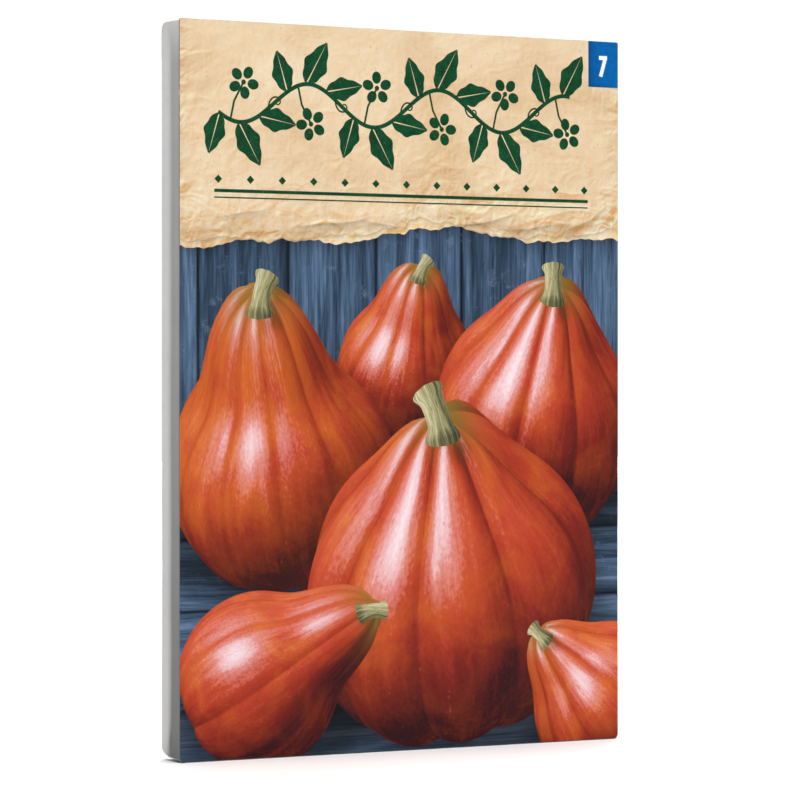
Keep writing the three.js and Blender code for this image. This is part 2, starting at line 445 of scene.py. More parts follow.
def left_normals(line):
    step = np.gradient(line, axis=0)
    step /= np.linalg.norm(step, axis=1, keepdims=True)
    return np.c_[-step[:, 1], step[:, 0]]


# Side walls and back

def corner_rise(inset, radius):
    """How far a rounded corner lifts the wall's end, at a distance from its back edge."""
    near = np.clip(radius - inset, 0, radius)
    return radius - np.sqrt(radius**2 - near**2)


def foot_lift(y):
    """How far the lower edge of the sides stands off the floor, more towards the back."""
    front, back = FOOT_LIFT
    return front + (back - front) * (y - FRONT) / (BACK - FRONT)


def shade_wall(y, z, crease_y):
    """The share of light on a wall: the part in front of the crease is darker, both grow darker downward."""
    lower = 1 - z / HEIGHT
    from_top = unit((WALL_TOP - z) / CREASE_FADE)
    front_half = unit((crease_y + 1.1 - y) / 1.6)
    near_crease = unit(1 - (y - crease_y) / 3.0)
    # painted shade in the crease just above the foot
    crease_foot_shade = 0.16 * np.exp(-(((y - crease_y) / 0.5) ** 2) - ((z - WALL_FOOT - 4) / 2.5) ** 2)
    dark = (0.29 + 0.13 * lower) * front_half + 0.20 * lower**1.4 + 0.12 * lower * near_crease**2
    return 1 - from_top * dark - crease_foot_shade


def wall_and_back(side, back_end):
    """One side wall with its crease, the rounded fold and its part of the back."""
    fold = BACK_FOLD
    near = FRONT + PAPER + CLEARANCE
    far = PANEL_BACK
    crease_y = near + CREASE_PLACE * (far - near)
    crease = [(HALF, near), (HALF - CREASE_DEPTH, crease_y), (HALF, far - fold)]
    wall = along(crease, 0.35)
    bend = np.array(arc((HALF - fold, far - fold), fold, 0, 90, 6))[1:]
    back = along([(HALF - fold, far), *back_end], 1.2)[1:]
    path = np.concatenate([wall, bend, back])
    kind = np.repeat([0, 1, 2], [len(wall), len(bend), len(back)])
    across = (path[:, 1] - near) / (far - near)
    foot = WALL_FOOT + foot_lift(path[:, 1]) + corner_rise(far - path[:, 1], WALL_CORNER[0])
    head = WALL_TOP + TOP_RISE * across - corner_rise(far - path[:, 1], WALL_CORNER[1])
    ease = unit((HALF - fold - path[:, 0]) / 4)
    foot = np.where(kind == 2, foot * (1 - ease) + BASE_FOLD * ease, foot)
    head = np.where(kind == 2, head * (1 - ease) + (WALL_TOP - TOP_FOLD) * ease, head)
    share = np.concatenate([np.linspace(0, 0.06, 12)[:-1], np.linspace(0.06, 0.94, 110),
                            np.linspace(0.94, 1, 12)[1:]])
    z = foot + share[:, None] * (head - foot)
    from_top, from_foot = (unit(gap / CREASE_FADE) for gap in (WALL_TOP - z, z - WALL_FOOT))
    open_out = np.maximum(1 - np.sin(np.pi / 2 * from_top), FOOT_OPEN * (1 - np.sin(np.pi / 2 * from_foot)))
    open_out *= kind == 0
    x = path[:, 0] + (HALF - path[:, 0]) * open_out
    y = np.broadcast_to(path[:, 1], z.shape)
    calm = np.where(kind == 0, unit(4 * across * (1 - across)), np.where(kind == 2, ease, 0))
    dent = 0.12 * ripple(y * 1.5, z, 18, 5 + side) * calm
    x = x - dent * (kind == 0)
    y = y + 0.5 * dent * (kind == 2)
    outer = np.stack([side * x, y, z], -1)
    normal = left_normals(path)
    inner = outer + PAPER * np.stack([side * normal[:, 0], normal[:, 1], 0 * normal[:, 0]], -1)
    turned_back = unit(1 - (far - path[:, 1]) / fold)
    shade = np.where(kind == 0, shade_wall(path[:, 1], z, crease_y), 1 - (1 - BACK_SHADE) * turned_back)
    order = slice(None, None, side)
    return outer[:, order], inner[:, order], shade[:, order]


def build_walls(material):
    step = PAPER + GAP
    lapped = PANEL_BACK - step
    ends = {
        "left": [(-SEAM_X, PANEL_BACK)],
        "right": [(SEAM_X + 2 * step, PANEL_BACK), (SEAM_X + step / 2, lapped), (SEAM_X - SEAM_LAP, lapped)],
    }
    for side, name in ((-1, "left"), (1, "right")):
        outer, inner, shade = wall_and_back(side, ends[name])
        piece = sheet(f"{name}_wall_and_back", outer, inner, material, shade)
        settle(piece, "plain_paper", f"{name}_side_wall", f"back_panel_{name}")


# Base and closing flap

def cross_fold(line, half_widths, seed):
    """A sheet that runs across the packet: a side-view line, drawn out to its half width at each point."""
    normal = left_normals(line)
    share = np.linspace(-1, 1, 90)
    x = share[None, :] * half_widths[:, None]
    y = np.broadcast_to(line[:, :1], x.shape)
    z = np.broadcast_to(line[:, 1:], x.shape)
    calm = unit((1 - share**2) * 2)[None, :]
    wave = 0.05 * ripple(x, 2 * (y + z), 26, seed) * calm
    outer = np.stack([x, y - wave * normal[:, :1], z - wave * normal[:, 1:]], -1)
    inner = outer + PAPER * np.stack([0 * x, normal[:, :1] + 0 * x, normal[:, 1:] + 0 * x], -1)
    return outer, inner


def trimmed(distance, full, cut, slope):
    """Half widths that taper over the last stretch of a flap, with a rounded tip."""
    return full - slope * np.clip(cut - distance, 0, cut) - 0.8 * unit(1 - distance / 0.8) ** 2


def build_base(material):
    bend = arc((BACK - BASE_FOLD, BASE_FOLD), BASE_FOLD, -90, 0, 8)
    line = along([(FRONT + PAPER + CLEARANCE, 0), *bend, (BACK, BASE_TAB)], 0.8)
    half = trimmed(BASE_TAB - line[:, 1], HALF - BASE_INSET, 9, 0.35)
    rise = corner_rise(np.where(line[:, 0] < BACK - BASE_FOLD, BACK - line[:, 0], line[:, 1]), WALL_CORNER[0])
    outer, inner = cross_fold(line, half - 0.5 * rise, 11)
    outer[..., 2] = np.maximum(outer[..., 2], 0)
    beside = unit((np.abs(outer[..., 0]) - HALF + 9) / 8) ** 2
    lift = ((foot_lift(line[:, 0]) + 0.25 * rise) * unit(1 - line[:, 1] / 6))[:, None] * beside
    outer[..., 2] += lift
    inner[..., 2] += lift
    settle(sheet("base_sheet", outer, inner, material), "plain_paper", "base_flap")


def build_flap(material):
    bend = arc((BACK - TOP_FOLD, WALL_TOP + TOP_RISE - TOP_FOLD), TOP_FOLD, 0, 90, 8)
    line = along([(BACK, FLAP_END), *bend, (FRONT + PAPER + CLEARANCE, WALL_TOP)], 0.8)
    half = trimmed(line[:, 1] - FLAP_END, HALF - PAPER - CLEARANCE, 16, 0.3)
    outer, inner = cross_fold(line, half, 12)
    up = unit((outer[..., 2] - WALL_TOP + TOP_FOLD) / TOP_FOLD)
    piece = sheet("closing_flap_sheet", outer, inner, material, BACK_SHADE + (TOP_SHADE - BACK_SHADE) * up)
    settle(piece, "plain_paper", "closing_flap")


# Seeds

def seed_body():
    """The points and faces of a seed: an oval with a narrow tip and a thin rim."""
    length, width, thickness = SEED_SIZE
    angles = np.linspace(0, 2 * np.pi, SEED_SIDES, endpoint=False)
    across = width / 2 * np.sin(angles) * (1 - SEED_TAPER * np.cos(angles))
    edge = np.stack([length / 2 * np.cos(angles), across], -1)
    rings = np.array([0.12, 0.3, 0.5, 0.68, 0.8, 0.87, 0.91, 0.95, 1.0])
    swell = SEED_RIM / 2 + (thickness - SEED_RIM) / 2 * (1 - rings**2.4) ** 0.7
    swell -= 0.22 * fall(rings - 0.9, 0.025)
    points, faces = [], []
    for face in (-1, 1):
        first = len(points) + 1
        points.append((0, face * thickness / 2, 0))
        for ring, rise in zip(rings, swell):
            points += [(ring * x, face * rise, ring * z) for x, z in edge]
        for corner in range(first, first + len(rings) * SEED_SIDES):
            after = corner + 1 if (corner + 1 - first) % SEED_SIDES else corner + 1 - SEED_SIDES
            one, two = (corner, after)[::-face]
            centre = corner < first + SEED_SIDES
            faces.append((first - 1, one, two) if centre else (one, two, two - SEED_SIDES, one - SEED_SIDES))
    last = 1 + SEED_SIDES * (len(rings) - 1)
    other = last + len(points) // 2
    rim = [(last + a, other + a) for a in range(SEED_SIDES)]
    faces += [(*one, *two[::-1]) for one, two in zip(rim, rim[1:] + rim[:1])]
    return np.array(points, float), faces


def build_seeds(material):
    """Finer seeds in place of the plain ones, with the same tilt."""
    points, faces = seed_body()
    for number in range(1, SEEDS + 1):
        low, high = (np.array(c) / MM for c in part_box(f"seed_{number}"))
        tilt = SEED_TILT * math.sin(2.4 * number)
        tilted = points.copy()
        tilted[:, 0] = points[:, 0] * math.cos(tilt) + points[:, 2] * math.sin(tilt)
        tilted[:, 2] = points[:, 2] * math.cos(tilt) - points[:, 0] * math.sin(tilt)
        tilted += (low + high) / 2 - (tilted.min(0) + tilted.max(0)) / 2
        settle(new_piece(f"seed_body_{number}", tilted, faces, [material]), "seed_coat", f"seed_{number}")


# The front's printed picture: gourds on a table, in front of painted boards

HEADER_Z = 117.0
CREASES = [  # folds in the band: both ends, and how dark their lower side is
    ((-50.0, 121.5), (-34.0, 124.0), 0.40),
    ((-30.0, 119.6), (-8.0, 122.4), 0.55),
    ((-12.0, 121.8), (4.0, 119.4), 0.45),
    ((2.0, 119.6), (30.0, 123.6), 0.60),
    ((24.0, 120.2), (45.0, 122.2), 0.50),
    ((40.0, 118.8), (55.0, 126.5), 0.40),
]
TAB = (8.3, 10.9)  # the coloured corner's width and height
FIGURE = (4.2, 5.9, 4.9)  # its middle from the packet's side and top, and its height
VINE_RISE, VINE_LENGTH, VINE_LEVEL = 4.6, 34.0, 147.0
VINE_ENDS = (-48, 44)
RULES = ((127.0, 0.75), (125.5, 0.3))  # height and thickness
DIAMONDS = (129.6, 0.95)  # height and half width
TABLE_Z = 71.0
TABLE_JOINTS = (62.0, 50.0, 34.0, 12.0)
TABLE_SLOPE = 0.012
NET_STEP = {"picture": 0.8, "band": 1.5}  # between the net's points
NET_MARGIN = 0.4
BOARD_WIDTH = 22.5
BOARD_JOINT = -8.0  # where one of the joints between them is
LOOK_DOWN = math.radians(27)
PAINTED_SUN = np.array([-0.52, -0.54, 0.66])
SHADE_EDGE = 0.92  # where a gourd's shade begins, against the oval round it
INWARD = 0.996  # draws the spots on a gourd's outline onto its body
# Where each gourd stands, its size, its height against its width, its ribs and how deep they are, how long
# its neck is, how it is turned and leans, and how warm its colour is
Gourd = namedtuple("Gourd", "at size flat ribs groove neck turn lean tone")
GOURDS = [  # from the furthest to the nearest
    Gourd((0.0, 86.0), 18.5, 0.96, 9, 0.035, 0.60, 1.3, 0.12, 0.02),
    Gourd((34.0, 75.0), 28.5, 0.98, 9, 0.05, 0.34, 0.5, 0.16, -0.04),
    Gourd((-32.0, 64.0), 29.0, 0.94, 10, 0.035, 0.72, 0.2, -0.14, 0.10),
    Gourd((12.0, 36.5), 39.5, 0.90, 8, 0.07, 0.28, 0.9, -0.06, -0.02),
    Gourd((-38.0, 17.5), 21.0, 0.96, 9, 0.03, 0.75, 2.6, 1.02, -0.06),
    Gourd((53.0, 9.0), 19.0, 0.94, 8, 0.05, 0.45, 1.7, -0.75, 0.06),
]


def header_edge(x):
    """The torn lower edge of the paper band."""
    wave = 1.5 * np.sin(x / 17 + 1.0) + 0.9 * np.sin(x / 7.3 + 0.4) + 0.02 * x
    tear = 0.5 * np.abs(np.sin(x / 3.7 + 1.3 * np.sin(x / 11))) + 0.35 * np.sin(x / 1.9 + 2 * np.sin(x / 5.1))
    fray = 0.16 * np.sin(x / 0.83 + 3 * np.sin(x / 3.1)) + 0.08 * np.sin(x / 0.37)
    return HEADER_Z + wave + tear + fray


def upper_ply(x):
    """The torn edge of the band's upper ply, which bares a strip of the ply under it."""
    bare = np.clip(1.5 * np.sin(x / 9 + 2.2) + 1.1 * np.sin(x / 4.3) + 0.5, 0, None)
    fray = 0.22 * np.sin(x / 0.7 + 2 * np.sin(x / 2.3)) + 0.3 * np.sin(x / 1.6)
    return header_edge(x) + 0.25 + np.clip(bare + 0.5 * fray, 0, 3.6)


def gourd_axes(gourd):
    """The gourd's own axes in the picture's space: right, away and up."""
    tilt, lean = LOOK_DOWN, gourd.lean
    up = np.array([math.sin(lean), -math.sin(tilt) * math.cos(lean), math.cos(tilt) * math.cos(lean)])
    right = np.cross(np.array([0, 1, 0]), up)
    right /= np.linalg.norm(right)
    return right, np.cross(up, right), up


def gourd_field(gourd, points):
    """Below zero inside the body. Also gives the angle round it, the angle from its crown and the rib."""
    right, away, up = gourd_axes(gourd)
    x, y, z = points @ right, points @ away, points @ up
    reach = np.sqrt(x * x + y * y + z * z) + 1e-9
    around = np.arctan2(x, -y)
    down = np.arccos(np.clip(z / reach, -1, 1))
    form = 1 / np.sqrt(np.sin(down) ** 2 + (np.cos(down) / gourd.flat) ** 2)
    neck = gourd.neck * fall(down, 0.44, 2.2)
    blossom_end = 0.18 * fall(np.pi - down, 0.4)
    phase = gourd.ribs / 2 * around + gourd.turn + 0.35 * np.sin(2 * around + gourd.turn)
    rib = np.sqrt(np.sin(phase) ** 2 + 0.004)
    groove = gourd.groove * (1 - rib**0.62)
    uneven = 1 + 0.025 * np.sin(2 * around + 3 * gourd.turn) + 0.02 * np.sin(3 * around + 2 * down)
    radius = gourd.size * form * (1 - blossom_end + neck) * (1 - groove) * uneven
    return reach - radius, around, down, rib


def gourd_seen(gourd, spots):
    """Where the line of sight through each spot, away from the middle, first meets the body."""
    points = np.c_[spots[:, 0], np.full(len(spots), -1.4 * gourd.size), spots[:, 1]]
    for _ in range(70):
        value = gourd_field(gourd, points)[0]
        points[:, 1] += np.clip(value * 0.45, -0.4, 3.0)
    return points


def gourd_outline(gourd, count=300):
    """The body's outline in the picture, by halving the reach along each direction."""
    angles = np.linspace(0, 2 * np.pi, count, endpoint=False)
    ways = np.c_[np.cos(angles), np.sin(angles)]
    depths = np.linspace(-1.2, 1.2, 49) * gourd.size
    low = np.full(count, 0.3 * gourd.size)
    high = np.full(count, (1.35 + gourd.neck) * gourd.size)
    for _ in range(12):
        middle = (low + high) / 2
        spots = np.repeat(ways * middle[:, None], len(depths), axis=0)
        points = np.c_[spots[:, 0], np.tile(depths, count), spots[:, 1]]
        inside = (gourd_field(gourd, points)[0].reshape(count, -1) < 0).any(1)
        low, high = np.where(inside, middle, low), np.where(inside, high, middle)
    return ways * low[:, None]


def shade_from_header(spots):
    """The soft shadow that the band's torn edge seems to cast on the picture."""
    below = header_edge(spots[:, 0] - 0.8) - spots[:, 1]
    return 1 - 0.5 * fade(below, 2.2)


def near_gourd(gourd, spots, shift=(0.0, 0.0), round_it=(1.0, 0.86)):
    """How far each spot lies outside an oval round the gourd's body, against its size."""
    size = gourd.size
    apart = (spots - np.array(gourd.at) - size * np.array(shift)) / (size * np.array(round_it))
    return np.maximum(np.hypot(*apart.T) - SHADE_EDGE, 0)


def shade_gourd(gourd, spots):
    """Painted light, gloss, crown tint and skin coordinates at each spot of a gourd."""
    local = (spots - np.array(gourd.at)) * INWARD
    seen = gourd_seen(gourd, local)
    step = 0.12
    normal = np.stack([gourd_field(gourd, seen + step * e)[0] - gourd_field(gourd, seen - step * e)[0]
                       for e in np.eye(3)], -1)
    normal /= np.linalg.norm(normal, axis=1, keepdims=True) + 1e-9
    _, around, down, rib = gourd_field(gourd, seen)
    sun = PAINTED_SUN / np.linalg.norm(PAINTED_SUN)
    light = 0.08 + 0.64 * unit(0.2 + 0.8 * (normal @ sun)) + 0.13 * (1 + normal[:, 2])
    in_groove = (1 - unit(rib)) * min(1, gourd.groove / 0.09)
    light *= 1 - 0.42 * in_groove**1.4
    light *= 0.62 + 0.38 * unit(-normal[:, 1]) ** 0.8
    for nearer in GOURDS[GOURDS.index(gourd) + 1 :]:
        light *= 1 - 0.62 * fall(near_gourd(nearer, spots), 0.24, 1.3)
    stem = stem_line(gourd)[0] + gourd.size * np.array([0.10, -0.05])
    from_stem = np.sqrt(((spots[:, None] - stem[None]) ** 2).sum(-1)).min(1)
    light *= (1 - 0.5 * fall(from_stem, 0.10 * gourd.size)) * shade_from_header(spots)
    half_way = sun + np.array([0, -1, 0])
    window = unit(normal @ half_way / np.linalg.norm(half_way))
    gloss = (0.90 * window**18 + 0.42 * window**5) * (1 - 0.65 * in_groove) * unit(light * 1.5)
    gloss *= 1 - 0.85 * fall(rib, 0.22)
    skin = np.c_[around + 5 * gourd.turn, down + 3 * gourd.turn]
    return {"light": light, "gloss": gloss, "crown": fall(down, 0.20), "uv": skin,
            "tone": np.full(len(spots), gourd.tone)}


def groove_points(gourd, step=0.23, sharp=0.02, coarse=7):
    """Spots where the painted light bends sharply, as it does in grooves: the net gets more points there."""
    reach = np.arange(-1.8, 1.8, step / gourd.size) * gourd.size
    x, z = (axis.ravel() for axis in np.meshgrid(reach, reach))
    width = len(reach)
    outside = gourd_field(gourd, gourd_seen(gourd, np.c_[x, z][::coarse]))[0]
    spots = np.c_[x, z] + np.array(gourd.at)
    inside = np.repeat(outside < 0.3, coarse)[: len(x)]
    light = np.zeros(len(x))
    light[inside] = shade_gourd(gourd, spots[inside])["light"]
    grid = light.reshape(width, width)
    bend = np.zeros_like(grid)
    bend[1:-1, 1:-1] = np.abs(4 * grid[1:-1, 1:-1] - grid[:-2, 1:-1] - grid[2:, 1:-1]
                              - grid[1:-1, :-2] - grid[1:-1, 2:])
    return spots[(bend.ravel() > sharp) & inside]


def stem_line(gourd):
    """The middle line of the stem and its half width along the way."""
    up = gourd_axes(gourd)[2]
    size = gourd.size
    start = 0.86 * gourd.flat * (1 + gourd.neck)
    root = np.array(gourd.at) + start * size * np.array([up[0], up[2]])
    bend = 0.5 * math.sin(5 * gourd.turn + 1)
    share = np.linspace(0, 1, 15)[:, None]
    way = np.array([up[0], up[2]]) / np.hypot(up[0], up[2])
    side = np.array([way[1], -way[0]])
    line = root + size * (0.28 * share * way + (0.10 * bend * share + 0.14 * bend * share**2) * side)
    share = share[:, 0]
    return line, size * (0.080 + 0.04 * fall(share, 0.20) + 0.03 * fall(1 - share, 0.12))


def stem_outline(gourd):
    line, half = stem_line(gourd)
    side = left_normals(line) * half[:, None]
    ahead = 0.42 * (line[-1] - line[-2]) / np.linalg.norm(line[-1] - line[-2]) * half[-1]
    turns = np.radians((22, 50, 90, 130, 158))
    cap = [line[-1] - side[-1] * math.cos(a) + ahead * math.sin(a) for a in turns]
    foot = [line[0] + side[0] * math.cos(a) - ahead * math.sin(a) for a in turns]
    return np.concatenate([line - side, cap, (line + side)[::-1], foot])


def shade_stem(gourd, spots):
    """Light and grain on a stem, as on a ridged round rod."""
    line, half = stem_line(gourd)
    nearest = np.argmin(((spots[:, None] - line[None]) ** 2).sum(-1), 1)
    normals = left_normals(line)
    across = ((spots - line[nearest]) * normals[nearest]).sum(-1) / half[nearest]
    way = (line[-1] - line[0]) / np.sum((line[-1] - line[0]) ** 2)
    rise = unit((spots - line[0]) @ way)
    light = 0.26 + 0.5 * unit(0.55 + 0.75 * across) * (1 - 0.3 * across**2) + 0.10 * rise
    light *= 0.6 + 0.4 * unit(rise * 5)
    return {"light": light * shade_from_header(spots), "uv": np.c_[across * 0.5, rise]}


def shade_boards(spots):
    """Upright boards, each a little lighter or darker, with dark joints and shade behind the gourds."""
    place = (spots[:, 0] - BOARD_JOINT) / BOARD_WIDTH
    joint = np.abs((place + 0.5) % 1 - 0.5) * BOARD_WIDTH
    light = 1 - 0.80 * fall(joint, 0.4) - 0.20 * fade(joint, 1.4)
    light *= 0.70 + 0.30 * unit((spots[:, 1] - TABLE_Z) / 14)
    for gourd in GOURDS:
        light *= 1 - 0.5 * fall(near_gourd(gourd, spots, (0.10, -0.08)), 0.22, 1.4)
    return {"light": light * shade_from_header(spots), "tone": 0.05 * np.sin(9.7 * np.floor(place))}


def shade_table(spots):
    """Dark joints between the table's boards and soft shadows under the gourds."""
    light = np.ones(len(spots))
    board = np.zeros(len(spots))
    for joint in TABLE_JOINTS:
        gap = np.abs(spots[:, 1] - joint - TABLE_SLOPE * spots[:, 0])
        light *= 1 - 0.8 * fall(gap, 0.45) - 0.16 * fade(gap, 1.6)
        board += spots[:, 1] > joint
    light *= 0.75 + 0.25 * unit((TABLE_Z - spots[:, 1]) / 5)
    for gourd in GOURDS:
        light *= 1 - 0.72 * fall(near_gourd(gourd, spots, (0.12, -0.50), (1.05, 0.42)), 0.42, 1.5)
        light *= 1 - 0.45 * fall(near_gourd(gourd, spots, (0.04, -0.06)), 0.16, 1.4)
    return {"light": light, "tone": 0.06 * np.sin(5.3 * board + 1) + 0.05}


def crease_line(start, end, count=60):
    """A bowed line between the two ends of a fold, and the way across it, downward."""
    share = np.linspace(0, 1, count)[:, None]
    start, end = np.array(start), np.array(end)
    down = np.array([end[1] - start[1], start[0] - end[0]]) / np.linalg.norm(end - start)
    bow = 0.7 * np.sin(np.pi * share) + 0.25 * np.sin(9 * share + start[0])
    return start + (end - start) * share + down * bow, down


def shade_creases(spots):
    """Each fold catches the light along its upper side and shades the paper below it."""
    light = np.ones(len(spots))
    for start, end, depth in CREASES:
        line, down = crease_line(start, end)
        share = (spots - line[0]) @ (line[-1] - line[0]) / np.sum((line[-1] - line[0]) ** 2)
        bent = np.interp(share, np.linspace(0, 1, len(line)), (line - line[0]) @ down)
        below = (spots - line[0]) @ down - bent
        lower_side = 1 / (1 + np.exp(np.clip(-below / 0.07, -60, 60)))
        shadow = depth * fade(below, 0.9) * lower_side
        shine = 0.10 * fade(-below, 0.6) * (1 - lower_side)
        light *= 1 + np.sin(np.pi * unit(share)) ** 0.7 * (shine - shadow)
    return light


def shade_kraft(spots):
    """The band's upper ply, a little darker just above its torn edge."""
    above = spots[:, 1] - upper_ply(spots[:, 0])
    light = (1 - 0.10 * np.exp(-((above - 1.6) ** 2) / 0.8)) * shade_creases(spots)
    edge = fade(above, 7) + 0.5 * fade(HALF - np.abs(spots[:, 0]), 3)
    return {"light": light, "edge": edge}


def shade_under_ply(spots):
    """The bared under ply, in the shadow of the upper one."""
    under = upper_ply(spots[:, 0] - 0.3) - spots[:, 1]
    return {"light": 1 - 0.42 * fade(under, 0.55), "edge": np.full(len(spots), 0.7)}


def even(spots):
    return {"light": np.ones(len(spots))}


def shade_tab(spots):
    """The tab is darker towards its left edge."""
    return {"light": 1 - 0.5 * fade(spots[:, 0] - (HALF - TAB[0]), 1.2)}


# Ink drawing on the band

def stroke(points, width, taper=False):
    """A line drawn with a pen of that width, as a closed outline."""
    line = np.asarray(points, float)
    half = np.full(len(line), width / 2)
    if taper:
        half *= np.sqrt(np.clip(1 - np.linspace(0, 1, len(line)) ** 2, 0.05, 1))
    side = left_normals(line) * half[:, None]
    return np.concatenate([line - side, (line + side)[::-1]])


def turned(outline, angle, root):
    turn = np.array([[math.cos(angle), math.sin(angle)], [-math.sin(angle), math.cos(angle)]])
    return np.asarray(root) + np.asarray(outline) @ turn


def leaf(root, angle, length, width):
    """Two halves of a pointed leaf, with a bare midrib between them."""
    share = np.linspace(0, 1, 40)
    belly = width / 2 * np.sin(np.pi * share**0.8) * (1 + 0.10 * np.sin(17 * share))
    halves = []
    for side in (-1, 1):
        edge = np.c_[share * length, side * (belly + 0.14)]
        rib = np.c_[share[::-1][1:-1] * length, side * 0.16 * (1 - share[::-1][1:-1])]
        halves.append(turned(np.concatenate([edge, rib]), angle, root))
    return halves


def blossom(middle, size, angle):
    """Five round petals about a ring."""
    petal = [(size * (0.62 + 0.36 * math.cos(a)), size * 0.30 * math.sin(a))
             for a in np.linspace(0, 2 * np.pi, 24, endpoint=False)]
    petals = [turned(petal, angle + 2 * math.pi * k / 5, middle) for k in range(5)]
    return petals + [turned(arc((0, 0), size * 0.15, 0, 330, 11), angle, middle)]


def tendril(root, angle, size, side):
    """A curl that winds up on itself."""
    share = np.linspace(0, 1, 46)
    turn = angle + side * 9.5 * share**1.5
    steps = size * (1 - 0.86 * share)[:, None] * np.c_[np.cos(turn), np.sin(turn)] / 16
    return stroke(np.asarray(root) + np.cumsum(steps, axis=0), 0.42, taper=True)


def vine_drawing():
    """A vine with leaves, blossoms and tendrils that winds along the band, over a pair of rules."""
    start, end = VINE_ENDS

    def height(t):
        return VINE_LEVEL + VINE_RISE * math.sin(2 * math.pi * t / VINE_LENGTH)

    def slope(t):
        return math.atan2(VINE_RISE * 2 * math.pi / VINE_LENGTH * math.cos(2 * math.pi * t / VINE_LENGTH), 1)

    shapes = [stroke([(t, height(t)) for t in np.linspace(start, end, 160)], 0.95)]
    for bend in range(-3, 3):
        middle = (bend + 0.5) * VINE_LENGTH / 2
        side = 1 if bend % 2 == 0 else -1
        for beside, lean, reach in ((-5.2, 1.25, 9.6), (-0.4, 1.0, 11.0), (4.6, 0.75, 9.6)):
            t = middle + beside
            if start < t < end:
                shapes += leaf((t, height(t)), slope(t) + side * lean, reach, 0.50 * reach)
        foot = np.array([middle - 2.5, height(middle - 2.5)])
        head = np.array([middle + 0.8, height(middle) - side * 9.0])
        shapes.append(stroke([foot, (foot + head) / 2 - [0.7, 0], head], 0.5))
        shapes += blossom(head, 3.9, 0.9 * bend)
        if t < end - 4:
            shapes.append(tendril((t + 2.4, height(t + 2.4)), slope(t) - side * 0.9, 4.8, side))
    shapes += [stroke([(start - 1, z), (-start + 1, z)], width) for z, width in RULES]
    z, half = DIAMONDS
    return shapes + [[(t - half, z), (t, z - half), (t + half, z), (t, z + half)]
                     for t in np.arange(start, -start + 1, 8.0)]


def numeral_seven(middle, height):
    """A plain figure seven, drawn as two strokes."""
    width, pen = height * 0.46, height * 0.2
    top = middle[1] + height / 2 - pen / 2
    left, right = middle[0] - width / 2, middle[0] + width / 2
    start = np.array([right - pen / 2, top])
    bend = np.array([middle[0] + 0.02 * height, middle[1]])
    foot = np.array([middle[0] - 0.14 * height, middle[1] - height / 2])
    curve = [(1 - t) ** 2 * start + 2 * t * (1 - t) * bend + t * t * foot for t in np.linspace(0, 1, 12)]
    return [stroke([(left, top), (right, top)], pen), stroke(curve, pen)]


# The front panel

def closed(outline, step):
    """The outline with extra points, none further apart than step."""
    return along([*outline, outline[0]], step)[:-1]


def front_regions():
    """Every printed region, from the lowest layer to the topmost: its outline, material and shading."""
    w, h = HALF - RIM, HEIGHT - RIM
    low, high = CORNER_RADIUS
    corners = ((w - low, FOOT_RIM + low, low, -90), (w - high, h - high, high, 0),
               (-w + high, h - high, high, 90), (-w + low, FOOT_RIM + low, low, 180))
    outline = [p for x, z, radius, start in corners for p in arc((x, z), radius, start, start + 90, 6)]
    x = np.arange(-w - 2, w + 2, 0.3)
    roof = [(w + 2, HEIGHT + 2), (-w - 2, HEIGHT + 2)]
    table = np.concatenate([np.c_[x, TABLE_Z + TABLE_SLOPE * x], [(w + 2, -2), (-w - 2, -2)]])
    regions = [(closed(outline, 1.2), "boards", shade_boards), (table, "table", shade_table)]
    for gourd in GOURDS:
        body = gourd_outline(gourd) + np.array(gourd.at)
        regions.append((body, "gourd", partial(shade_gourd, gourd)))
        regions.append((closed(stem_outline(gourd), 0.6), "stem", partial(shade_stem, gourd)))
    for edge, name, shade in ((header_edge, "under_ply", shade_under_ply), (upper_ply, "kraft", shade_kraft)):
        regions.append((np.concatenate([np.c_[x, edge(x)], roof]), name, shade))
    regions += [(shape, "ink", even) for shape in vine_drawing()]
    left, foot = HALF - TAB[0], HEIGHT - TAB[1]
    regions.append(([(left, foot), (w + 2, foot), (w + 2, HEIGHT + 2), (left, HEIGHT + 2)], "tab", shade_tab))
    aside, down, height = FIGURE
    figure = numeral_seven((HALF - aside, HEIGHT - down), height)
    return regions + [(shape, "white", even) for shape in figure]


def anticlockwise(outline):
    outline = np.asarray(outline, float)
    x, z = outline.T
    return outline if np.sum(x * np.roll(z, -1) - z * np.roll(x, -1)) > 0 else outline[::-1]


def fill_points():
    """Points inside the panel: an even net, closer in the picture, and more along the gourds' grooves."""
    w, h = HALF - NET_MARGIN, HEIGHT - NET_MARGIN
    fine, coarse = NET_STEP["picture"], NET_STEP["band"]
    band = HEADER_Z + 12
    found = []
    for z0, z1, step in ((NET_MARGIN, HEADER_Z, fine), (HEADER_Z, band, fine), (band, h, coarse)):
        x, z = np.meshgrid(np.arange(-w, w, step), np.arange(z0, z1, step * 0.87))
        x = x + 0.5 * step * (np.arange(len(x)) % 2)[:, None]
        found.append(np.c_[x.ravel(), z.ravel()])
    found += [groove_points(gourd) for gourd in GOURDS]
    for beside in (-0.5, -0.25, 0.0, 0.25, 0.5):
        z = np.arange(TABLE_Z, HEADER_Z, 0.4)
        for board in range(-3, 4):
            found.append(np.c_[np.full(len(z), board * BOARD_WIDTH + BOARD_JOINT + beside), z])
        x = np.arange(-w, w, 0.4)
        found += [np.c_[x, z + TABLE_SLOPE * x + beside] for z in (*TABLE_JOINTS, TABLE_Z)]
    for start, end, _ in CREASES:
        line, down = crease_line(start, end, 120)
        found += [line + down * beside for beside in (-0.6, -0.3, -0.12, 0.0, 0.12, 0.3, 0.6, 1.0, 1.5)]
    found = np.concatenate(found)
    return found[(np.abs(found[:, 0]) < w) & (found[:, 1] > NET_MARGIN) & (found[:, 1] < h)]


